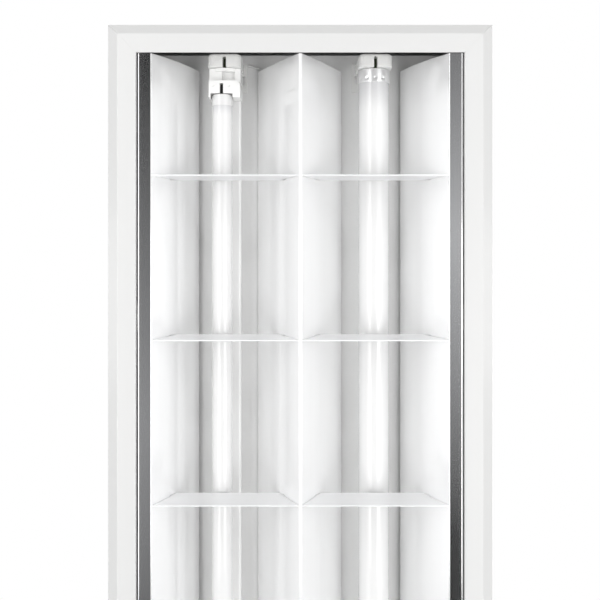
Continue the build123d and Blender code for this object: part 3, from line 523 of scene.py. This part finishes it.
# End plate screws: zinc-plated pan-head screws through the end plates into the channel's tabs,
# with a cross recess in the head and a rolled thread.
zinc, _ = finish(
    "zinc_steel", (0.66, 0.66, 0.64), 0.33, 0.003 * mm, metallic=1.0,
    coarse=160.0, fine=2600.0, mottle=0.10, scuff=0.25,
)
head_radius = 3.6 * mm
head_height = 2.2 * mm
head_fall = 0.45
shank = 1.9 * mm
shank_in = 0.1 * mm
screw_length = 6 * mm
recess_reach = 2.1 * mm
recess_width = 0.42 * mm
recess_flank = 0.3 * mm
recess_depth = 1.6 * mm


def pan_screw(place, axes, length):
    """Pan head on a threaded shank. The head's height falls off with the fourth power of the radius,
    less a cross recess whose flanks slope from the centre out."""
    angle = np.linspace(0, 2 * pi, 65)
    radius = np.linspace(0, 1, 15)[:, None] * head_radius
    dome = head_height * (1 - head_fall * (radius / head_radius) ** 4)
    x, y = np.abs(radius * np.cos(angle)), np.abs(radius * np.sin(angle))
    arm = np.clip((recess_width - np.minimum(x, y)) / recess_flank, 0, 1)
    cross = arm * np.clip((recess_reach - np.maximum(x, y)) / recess_reach, 0, 1) * recess_depth
    u, v, w = axes
    bottom = radius[..., None] * (np.cos(angle)[:, None] * u + np.sin(angle)[:, None] * v)
    top = bottom + (dome - cross)[..., None] * w
    head = shell(top + place, bottom + place)
    rows = np.arange(0, -length, -thread_step)
    rod = [(0, shank_in)] + [(shank, h) for h in rows] + [(0, -length - shank / 2)]
    return [head, turned(rod, place, axes, 24, thread)]


parts = []
for side in signs:
    for end in signs:
        outward = np.array(((1, 0, 0), (0, 0, 1), (0, end, 0)), float)
        parts += pan_screw(np.array((side * tab_x, end * half_length, tab_z)), outward, screw_length)
screws = new_object("end_plate_screws_turned", parts)
smooth(screws, 40)
dress(screws, "end_plate_screws", zinc)


# Gear tray: a hat section of enamelled sheet that hangs from the studs. It carries the gear above
# and the lampholders below, and is punched for their pegs, screws and wires.
tray_low, tray_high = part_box("gear_tray")
tray_half = 120 * mm
foot_low = tray_high.z - sheet
line, normals = bent_line(
    [
        (tray_low.x, foot_low),
        (-tray_half, foot_low),
        (-tray_half, tray_low.z),
        (tray_half, tray_low.z),
        (tray_half, foot_low),
        (tray_high.x, foot_low),
    ],
    (0.6 * mm, 1.4 * mm, 1.4 * mm, 0.6 * mm),
)
inner = line + sheet * normals
run = tray_high.y * np.linspace(-1, 1, 5)
under, over = (surface(path[:, 0, None], run, path[:, 1, None]) for path in (line, inner))
tray = new_object("gear_tray_sheet", [shell(under, over)])
peg_hole = 1.95 * mm
wire_hole = 1.4 * mm
screw_hole = 2.25 * mm
lamp_offset = 61 * mm
peg_x = 12 * mm
peg_y = 605.25 * mm
wire_x = 5 * mm
wire_y = 593.1 * mm
ballast_y = 250 * mm
ballast_screw_y = 70.5 * mm
starter_wire_x = 9.5 * mm
starter_y = 60 * mm
holes = []
for x, y, radius in ((peg_x, peg_y, peg_hole), (wire_x, wire_y, wire_hole)):
    for side in signs:
        for end in signs:
            holes += [(side * lamp_offset + p * x, end * y, tray_low.z, radius) for p in signs]
for end in signs:
    holes += [(0, end * ballast_y + p * ballast_screw_y, tray_low.z, screw_hole) for p in signs]
for end in signs:
    holes += [(end * starter_wire_x, end * starter_y + p * wire_x, tray_low.z, wire_hole) for p in signs]
holes += [(side * stud_x, y, foot_low, screw_hole) for side in signs for y in stud_rows]
punch(tray, holes)
smooth(tray)
# Painted light: the tray's white enamel is made brighter than the housing's, to stand for the shade the
# tray lies in.
tray_enamel_painted_light, _ = finish(
    "tray_enamel_painted_light", (0.92, 0.92, 0.915), 0.45, 0.005 * mm,
    coarse=9.0, fine=500.0, mottle=0.03, scuff=0.1,
)
dress(tray, "gear_tray", tray_enamel_painted_light)


# Small steel pieces: the nuts that hold the tray on its studs, the screws of the ballasts and the
# spring clips that hold the louvre. They are zinc plated, with broken edges.
nodes = frame["nodes"]


def softened(name, width, *materials, segments=2):
    """Copy of a CAD node with its seams merged, its flat faces made whole and its edges broken."""
    mesh = nodes[name].data.copy()
    shape = bmesh.new()
    shape.from_mesh(mesh)
    bmesh.ops.remove_doubles(shape, verts=shape.verts, dist=0.002 * mm)
    if width:
        bmesh.ops.dissolve_limit(shape, angle_limit=radians(0.5), verts=shape.verts, edges=shape.edges)
    shape.to_mesh(mesh)
    shape.free()
    piece = bpy.data.objects.new(name + "_finished", mesh)
    bpy.context.scene.collection.objects.link(piece)
    if width:
        broken = piece.modifiers.new("broken_edges", "BEVEL")
        broken.width = width
        broken.segments = segments
        broken.limit_method = "ANGLE"
        broken.angle_limit = radians(40)
    smooth(piece)
    dress(piece, name, *materials)


softened("tray_nuts", 0.3 * mm, zinc)
softened("ballast_screws", 0.25 * mm, zinc)
softened("louvre_clips", 0.12 * mm, zinc)


# Ballasts: in each, a core of thin steel sheets round a winding, dipped in dark varnish, stands on a
# base plate with a screw at each end. The sheets' edges show as fine lines.
laminations, _ = finish(
    "varnished_laminations", (0.16, 0.17, 0.18), 0.42, 0.06 * mm,
    stretch=(0.02, 1, 0.02), coarse=400.0, fine=1400.0, mottle=0.3, scuff=0.3,
)
for name in ("ballast_front", "ballast_rear"):
    softened(name, 0.4 * mm, laminations)


# Capacitor for the power factor: a round can moulded in off-white plastic, which lies on the tray in
# a clip of sprung, zinc-plated steel.
can_plastic, _ = finish(
    "capacitor_plastic", (0.80, 0.80, 0.77), 0.45, 0.01 * mm,
    coarse=40.0, fine=900.0, mottle=0.05,
)
softened("capacitor", 0, can_plastic)
softened("capacitor_clip", 0.3 * mm, zinc)


# Terminal block: a white moulded block on the tray, with two rows of three wells for its clamping
# screws. The wires end at its sides.
block_plastic, _ = finish(
    "block_plastic", (0.84, 0.84, 0.82), 0.5, 0.012 * mm,
    coarse=50.0, fine=1100.0, mottle=0.04,
)
softened("terminal_block", 0.4 * mm, block_plastic)


# Earth terminal: a stud on the tray with a nut, which holds down the cable lug of the earth wire. All
# three are turned or stamped brass, left bright.
brass, _ = finish(
    "earth_brass", (0.78, 0.62, 0.33), 0.3, 0.002 * mm, metallic=1.0,
    coarse=150.0, fine=2200.0, mottle=0.08, scuff=0.2,
)
softened("earth_terminal", 0.25 * mm, brass)


# Wiring: single wires with pale insulation, bent in wide curves between the terminal block, the gear
# and the lampholders. They lie on the tray, and one lead runs under it.
insulation, _ = finish(
    "wire_insulation", (0.84, 0.84, 0.83), 0.38, 0.01 * mm,
    coarse=60.0, fine=700.0, mottle=0.05,
)
softened("wiring", 0, insulation)


# Cable bush: black rubber, pushed into the cable entry in the top of the housing, with its flange
# inside. It keeps the mains cable off the sheet's edge.
rubber, _ = finish(
    "bush_rubber", (0.035, 0.035, 0.037), 0.62, 0.02 * mm,
    coarse=90.0, fine=1500.0, mottle=0.3,
)
softened("cable_bush", 0.3 * mm, rubber)


# Side reflectors: thin satin aluminium rolled along the lamps and folded to a bowed wall, a flat
# strip and an upstand at the frame, with a slot at each blade for its tab. The strips are polished.
satin, satin_shader = finish(
    "satin_aluminium", (0.96, 0.962, 0.965), 0.45, 0.0015 * mm, metallic=0.1,
    stretch=(1, 0.012, 1), coarse=170.0, fine=2400.0, mottle=0.03, scuff=0.08,
)
tree = satin.node_tree
gloss = node_of(tree, "BsdfPrincipled")
gloss.inputs["Metallic"].default_value = 1.0
gloss.inputs["Roughness"].default_value = 0.10
for label in ("Base Color", "Normal"):
    tree.links.new(satin_shader.inputs[label].links[0].from_socket, gloss.inputs[label])
across = node_of(tree, "SeparateXYZ", (node_of(tree, "TexCoord").outputs["Object"],)).outputs[0]
outward = node_of(tree, "Math", (across,), operation="ABSOLUTE").outputs[0]
strip_edge = (114.4 * mm, 115.2 * mm)
mirror_share = (0.25, 1.0)
share = node_of(tree, "MapRange", (outward, *strip_edge, *mirror_share)).outputs[0]
lobes = node_of(tree, "MixShader", (share, satin_shader.outputs[0], gloss.outputs[0]))
tree.links.new(lobes.outputs[0], tree.nodes["Material Output"].inputs[0])
reflector_sheet = 0.6 * mm
fold = 0.9 * mm
wall_bow = 2.77 * mm
strip_width = 10.25 * mm
side_depth = 63.5 * mm
wall_deep = np.array((louvre_low.x, face + side_depth))
wall_top = np.array((louvre_high.x - strip_width, louvre_low.z))
upstand_top = face + 14 * mm
blade_pitch = 127.5 * mm
blade_rows = np.arange(-4, 5) * blade_pitch
slot_half = 2.05 * mm
slot_low = face + 18.85 * mm
slot_high = face + 24.15 * mm
louvre_end = louvre_high.y
wave_depth = 0.05 * mm
wave_long = 47 * mm
wave_short = 28 * mm
wave_slant = 30 * mm
wave_phase = 1.3
wave_share = 0.6
chord = wall_top - wall_deep
chord_length = np.linalg.norm(chord)
wall_radius = (chord_length ** 2 / 4 + wall_bow ** 2) / (2 * wall_bow)
behind = np.array((-chord[1], chord[0])) / chord_length
wall_centre = (wall_top + wall_deep) / 2 + behind * (wall_radius - wall_bow)


def wall_x(z):
    """Where the bowed wall is at height z: x = cx - sqrt(r^2 - (z - cz)^2)."""
    return wall_centre[0] - np.sqrt(wall_radius ** 2 - (z - wall_centre[1]) ** 2)


def refined(line, normals, levels, step):
    """The same line with more points: where it crosses each height in levels, and one every step."""
    length = np.concatenate([[0], np.cumsum(np.linalg.norm(np.diff(line, axis=0), axis=1))])
    low, rise = line[:-1, 1, None], np.diff(line[:, 1])[:, None]
    share = (np.asarray(levels) - low) / np.where(rise == 0, np.inf, rise)
    crossings = (length[:-1, None] + share * np.diff(length)[:, None])[(share > 0) & (share < 1)]
    spots = np.unique(np.round(np.concatenate([length, crossings, np.arange(0, length[-1], step)]), 7))
    return [
        np.stack([np.interp(spots, length, column) for column in grid.T], -1)
        for grid in (line, normals)
    ]


def wave(y, z):
    """Slight waviness of rolled sheet: two long sines along Y, which die out at the wall's two edges."""
    across = np.sin(pi * np.clip((z - louvre_low.z) / (wall_deep[1] - louvre_low.z), 0, 1))
    waves = np.sin(y / wave_long + wave_phase) + wave_share * np.sin(y / wave_short + z / wave_slant)
    return wave_depth * across * waves


def reflector_skin(line, normals, side):
    """Wavy sheet with its thickness behind the line, carried along Y, with the tab slots cut out."""
    line, normals = refined(line, normals, (slot_low, slot_high), 4 * mm)
    edges = np.concatenate([blade_rows - slot_half, blade_rows + slot_half])
    y = np.unique(np.round(np.concatenate([np.linspace(-louvre_end, louvre_end, 101), edges]), 7))
    bulge = wave(y, line[:, 1, None])
    grids = []
    for offset in (0, reflector_sheet):
        x = line[:, 0, None] + normals[:, 0, None] * (bulge + offset)
        z = line[:, 1, None] + normals[:, 1, None] * (bulge + offset)
        grids.append(surface(side * x, y, z))
    middle_y = (y[1:] + y[:-1]) / 2
    middle_z = (line[1:, 1] + line[:-1, 1]) / 2
    in_row = (np.abs(middle_y[:, None] - blade_rows) < slot_half).any(1)
    in_slot = (middle_z > slot_low) & (middle_z < slot_high)
    return shell(grids[0], grids[1], ~(in_slot[:, None] & in_row))


sweep = np.linspace(wall_deep[1], wall_top[1] + fold, 25)
wall = np.stack([wall_x(sweep), sweep], -1)
wall_normals = (wall_centre - wall) / wall_radius
fold_line, fold_normals = bent_line(
    [wall[-1], wall_top, (louvre_high.x, louvre_low.z), (louvre_high.x, upstand_top)], (fold, fold), 5
)
line = np.concatenate([wall[:-1], fold_line])
normals = np.concatenate([wall_normals[:-1], fold_normals])
for name, side in (("side_reflector_left", -1), ("side_reflector_right", 1)):
    reflector = new_object(name + "_sheet", [reflector_skin(line, normals, side)])
    smooth(reflector)
    dress(reflector, name, satin)


# Centre reflector: the same satin sheet, folded to a V between the two lamps with a narrow flat at
# its fold. It has a slot on either side for the tab of each blade.
centre_half = 35.7 * mm
centre_depth = 65 * mm
knee_radius = 20 * mm
knee = (16.5 * mm, face + 27 * mm)
apex = (1 * mm, louvre_low.z)
top = (centre_half, face + centre_depth)
half = [top, knee, apex]
v_line = [(-x, z) for x, z in half] + half[::-1]
line, normals = bent_line(v_line, (knee_radius, fold, fold, knee_radius), 5)
centre = new_object("centre_reflector_sheet", [reflector_skin(line, normals, 1)])
smooth(centre)
dress(centre, "centre_reflector", satin)


# Cross blades: V-shaped strips of thin satin sheet across each chamber, with a rounded nose at the
# opening and a tab at each end that locks into the reflector's slot.
blade_sheen, _ = finish(
    "blade_aluminium", (0.96, 0.962, 0.97), 0.40, 0.002 * mm, metallic=0.25,
    stretch=(0.02, 1, 1), coarse=170.0, fine=2400.0, mottle=0.03, scuff=0.08,
)
blade_sheet = 0.4 * mm
blade_top = face + 27 * mm
blade_nose = face + 0.3 * mm
blade_gap = 0.35 * mm
tab_low = face + 19 * mm
tab_high = face + 24 * mm
tab_reach = 2.5 * mm
top_half = 1.9 * mm
nose_half = 0.5 * mm
nose_radius = 0.45 * mm
half = [(-top_half, blade_top), (-nose_half, blade_nose)]
blade_line = half + [(-x, z) for x, z in half[::-1]]
line, normals = bent_line(blade_line, (nose_radius, nose_radius))
line, normals = refined(line, normals, (tab_low, tab_high), 3 * mm)


def blade_grid(path, row, side):
    """The V path carried across one chamber, from the centre wall to the side wall at each height,
    with one more step at either end for the tab."""
    z = path[:, 1]
    slope = (z - apex[1]) / (knee[1] - apex[1])
    start = apex[0] + slope * (knee[0] - apex[0]) + blade_gap
    stop = wall_x(z) - blade_gap
    share = np.linspace(0, 1, 9)
    body = start[:, None] + (stop - start)[:, None] * share
    tab_middle = (tab_low + tab_high) / 2
    flank = slice(len(z) // 2 - 1, None, -1)
    tab_start = np.interp(tab_middle, z[flank], start[flank]) - blade_gap - tab_reach
    tab_stop = np.interp(tab_middle, z[flank], stop[flank]) + blade_gap + tab_reach
    x = np.concatenate([tab_start + 0 * start[:, None], body, tab_stop + 0 * start[:, None]], axis=1)
    return surface(side * x, row + path[:, 0, None], z[:, None])


middle = (line[1:, 1] + line[:-1, 1]) / 2
kept = np.ones((len(middle), 10), bool)
kept[:, 0] = (middle > tab_low) & (middle < tab_high)
kept[:, -1] = kept[:, 0]
inner = line + blade_sheet * normals
for i, row in enumerate(blade_rows):
    name = "cross_blade_" + str(i + 1)
    parts = [shell(blade_grid(line, row, side), blade_grid(inner, row, side), kept) for side in signs]
    blade = new_object(name + "_sheet", parts)
    smooth(blade)
    dress(blade, name, blade_sheen)


# Lampholders: glossy white mouldings snapped into the tray, each with a bronze contact spring on
# either side of an olive-green rotor that turns with the lamp's pins.
holder_plastic, holder_shader = finish(
    "holder_plastic", (0.90, 0.90, 0.885), 0.28, 0.004 * mm,
    coarse=60.0, fine=900.0, mottle=0.02, scuff=0.1,
)
coat(holder_shader, 0.3, 0.08)
rotor_plastic, _ = finish(
    "rotor_plastic", (0.055, 0.085, 0.035), 0.4, 0.006 * mm,
    coarse=80.0, fine=1200.0, mottle=0.2,
)
bronze, _ = finish(
    "contact_bronze", (0.72, 0.48, 0.24), 0.28, 0.001 * mm, metallic=1.0,
    coarse=200.0, fine=2500.0, mottle=0.1, scuff=0.2,
)
for side in ("left", "right"):
    for end in ("front", "rear"):
        softened("lampholder_" + side + "_" + end, 0.7 * mm, holder_plastic, segments=3)
        softened("lampholder_rotor_" + side + "_" + end, 0.2 * mm, rotor_plastic)
softened("lampholder_contacts", 0, bronze)


# Thick lamp: a glass tube coated inside with white phosphor, a crimped aluminium cap with two
# brass pins at each end, and the electrode on its stem inside.
phosphor = (0.75, 0.75, 0.748)
grey_end = (0.62, 0.62, 0.63, 1)


def phosphor_glass(name, centre_y, half_run, grey_run):
    """White phosphor under clear glass, which greys over grey_run at the tube's two ends."""
    material, shader = finish(name, phosphor, 0.42, 0.0005 * mm, coarse=30.0, fine=900.0, mottle=0.01)
    tree = material.node_tree
    place = node_of(tree, "TexCoord").outputs["Object"]
    y = node_of(tree, "SeparateXYZ", (place,)).outputs[1]
    off = node_of(tree, "Math", (y, centre_y), operation="SUBTRACT").outputs[0]
    out = node_of(tree, "Math", (off,), operation="ABSOLUTE").outputs[0]
    greying = (out, half_run - grey_run, half_run)
    fade = node_of(tree, "MapRange", greying, interpolation_type="SMOOTHSTEP")
    colour = shader.inputs["Base Color"].links[0].from_socket
    mix = node_of(tree, "Mix", data_type="RGBA")
    tree.links.new(fade.outputs[0], mix.inputs["Factor"])
    tree.links.new(colour, mix.inputs[6])
    mix.inputs[7].default_value = grey_end
    tree.links.new(mix.outputs[2], shader.inputs["Base Color"])
    coat(shader, 1.0, 0.03)
    return material


cap_aluminium, _ = finish(
    "cap_aluminium", (0.92, 0.922, 0.925), 0.3, 0.001 * mm, metallic=0.7,
    coarse=120.0, fine=2200.0, mottle=0.04, scuff=0.15,
)
pin_brass, _ = finish(
    "pin_brass", (0.80, 0.66, 0.38), 0.22, 0.001 * mm, metallic=1.0,
    coarse=200.0, fine=2600.0, mottle=0.06, scuff=0.15,
)
cathode_metal, _ = finish(
    "cathode_metal", (0.62, 0.62, 0.60), 0.35, 0.002 * mm, metallic=0.6,
    coarse=200.0, fine=2000.0, mottle=0.1,
)
pin_radius = 1.175 * mm
pin_round = 0.6 * mm
cap_base = 1 * mm
crimp_place = 0.72
crimp_width = 1.1 * mm


def make_lamp(prefix, cap_metal, glass, cap_wall, pin_spacing, crimp_depth):
    """The tube, caps and pins of one lamp, in the places of the CAD nodes that start with prefix."""
    tube_low, tube_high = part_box(prefix + "_tube")
    cap_low, cap_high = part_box(prefix + "_cap_rear")
    pin_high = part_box(prefix + "_pins")[1]
    centre = np.array((tube_low + tube_high) / 2)
    glass_radius = (tube_high.z - tube_low.z) / 2
    radius = (cap_high.z - cap_low.z) / 2
    half = cap_high.y - centre[1]
    tube_half = tube_high.y - centre[1]
    cap_length = cap_high.y - cap_low.y
    shoulder = glass_radius / 3
    ends = [(0, -tube_half), (glass_radius, -tube_half), (glass_radius, tube_half), (0, tube_half)]
    outline, _ = bent_line(ends, (shoulder, shoulder), 8)
    tube = new_object(prefix + "_tube_glass", [turned(outline, centre, across_y, 96)])
    smooth(tube)
    dress(tube, prefix + "_tube", glass)

    def crimp(height, angle):
        """Row of twelve dents round the cap: a bell curve along it, times a power of the cosine."""
        row = np.exp(-(((height - half + crimp_place * cap_length) / crimp_width) ** 2))
        return crimp_depth * row * np.cos(6 * angle) ** 8

    rim = half - cap_length
    rows = np.linspace(rim, half - 2 * cap_base, 25)
    outside = [(radius, h) for h in rows]
    base, _ = bent_line([(radius, half - 2 * cap_base), (radius, half), (0, half)], (cap_base,), 8)
    inside = [(radius - cap_wall, rim), (radius - cap_wall, half - cap_base), (0, half - cap_base)]
    profile = inside[::-1] + outside + base[1:].tolist()
    pin_foot = half - cap_base / 2
    pin_end = pin_high.y - centre[1]
    tip, _ = bent_line([(pin_radius, pin_foot), (pin_radius, pin_end), (0, pin_end)], (pin_round,), 6)
    pins = []
    for name, end in (("front", -1), ("rear", 1)):
        axes = np.array(((1, 0, 0), (0, 0, 1), (0, end, 0)), float)
        cap = new_object(prefix + "_cap_" + name + "_drawn", [turned(profile, centre, axes, 120, crimp)])
        smooth(cap)
        dress(cap, prefix + "_cap_" + name, cap_metal)
        for hand in signs:
            foot = centre + (hand * pin_spacing / 2, 0, 0)
            pins.append(turned([(0, pin_foot)] + tip.tolist(), foot, axes, 32))
    both = new_object(prefix + "_pins_turned", pins)
    smooth(both)
    dress(both, prefix + "_pins", pin_brass)
    softened(prefix + "_cathodes", 0, cathode_metal)


glass = phosphor_glass("t8_glass", centre_y=0, half_run=589 * mm, grey_run=26 * mm)
make_lamp("t8", cap_aluminium, glass, cap_wall=0.5 * mm, pin_spacing=12.7 * mm, crimp_depth=0.45 * mm)


# Adapters of the thin lamp: white mouldings that plug into the thick lamp's holders, with a black
# rotor for the thin lamp's pins, and an extruded carrier between them.
adapter_plastic, adapter_shader = finish(
    "adapter_plastic", (0.91, 0.91, 0.90), 0.3, 0.004 * mm,
    coarse=60.0, fine=900.0, mottle=0.02, scuff=0.1,
)
coat(adapter_shader, 0.3, 0.08)
black_plastic, _ = finish(
    "black_plastic", (0.018, 0.018, 0.018), 0.4, 0.006 * mm,
    coarse=80.0, fine=1200.0, mottle=0.2,
)
profile_plastic, _ = finish(
    "carrier_profile", (0.88, 0.88, 0.875), 0.42, 0.004 * mm,
    stretch=(1, 0.02, 1), coarse=120.0, fine=900.0, mottle=0.03,
)
for end in ("front", "rear"):
    softened("t5_adapter_" + end, 0.6 * mm, adapter_plastic, segments=3)
    softened("t5_rotor_" + end, 0.15 * mm, black_plastic)
softened("t5_adapter_pins", 0.3 * mm, pin_brass)
softened("t5_carrier", 0.1 * mm, profile_plastic)


# Thin lamp: the same kind of tube and pins, smaller, with smooth caps coloured the same white as the
# phosphor, so that in the opening the lamp looks the same all along.
t5_cap_white, t5_cap_white_shader = finish(
    "t5_cap_white", (0.75, 0.75, 0.748), 0.3, 0.001 * mm,
    coarse=60.0, fine=1200.0, mottle=0.02, scuff=0.1,
)
coat(t5_cap_white_shader, 0.6, 0.05)
glass = phosphor_glass("t5_glass", centre_y=-3.9 * mm, half_run=566 * mm, grey_run=10 * mm)
make_lamp("t5", t5_cap_white, glass, cap_wall=0.35 * mm, pin_spacing=4.75 * mm, crimp_depth=0)


# Starters and their sockets: plain white plastic cans with two pins each, which hold by a twist in
# moulded sockets. The sockets are fixed under the tray, inside the centre reflector.
starter_plastic, _ = finish(
    "starter_plastic", (0.86, 0.86, 0.84), 0.36, 0.006 * mm,
    coarse=50.0, fine=900.0, mottle=0.03,
)
for end in ("front", "rear"):
    softened("starter_" + end, 0, starter_plastic)
    softened("starter_socket_" + end, 0.4 * mm, block_plastic)
